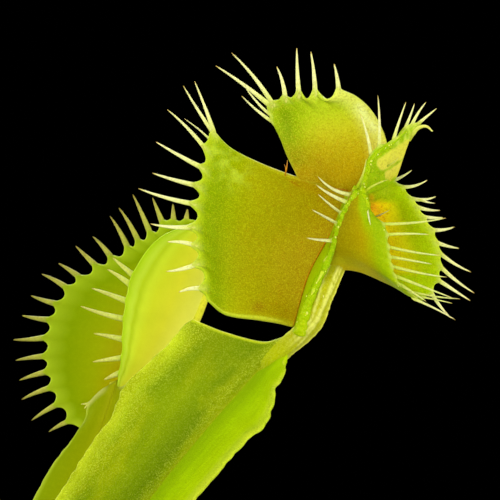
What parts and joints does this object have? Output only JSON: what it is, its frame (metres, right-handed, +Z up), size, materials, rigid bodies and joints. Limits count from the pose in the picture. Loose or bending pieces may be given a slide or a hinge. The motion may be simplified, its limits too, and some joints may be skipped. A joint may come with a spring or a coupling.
{
  "type": "potted venus flytrap",
  "caption": "Potted Venus flytrap: tall winged leaves, an open double trap with long cilia, and a low rosette of smaller traps in a plain plastic pot.",
  "frame": {"origin": "middle of the pot's flat underside", "axes": "+Z up; -Y toward the front, the side the picture shows; +X to the viewer's right"},
  "size_m": [0.1195, 0.0995, 0.1702],
  "materials": {
    "pot_plastic": "plain matte terracotta-coloured plastic",
    "peat": null,
    "leaf_base": null,
    "leaf": null
  },
  "bodies": {
    "root": {"pot": "pot_plastic", "soil": "peat", "crown": "leaf_base", "leaf_front": "leaf", "leaf_back": "leaf", "leaf_left": "leaf", "leaf_left_low": "leaf", "leaf_front_low": "leaf", "leaf_right_low": "leaf", "leaf_rear_right": "leaf", "leaf_rear": "leaf", "leaf_rear_left": "leaf"}
  },
  "joints": []
}
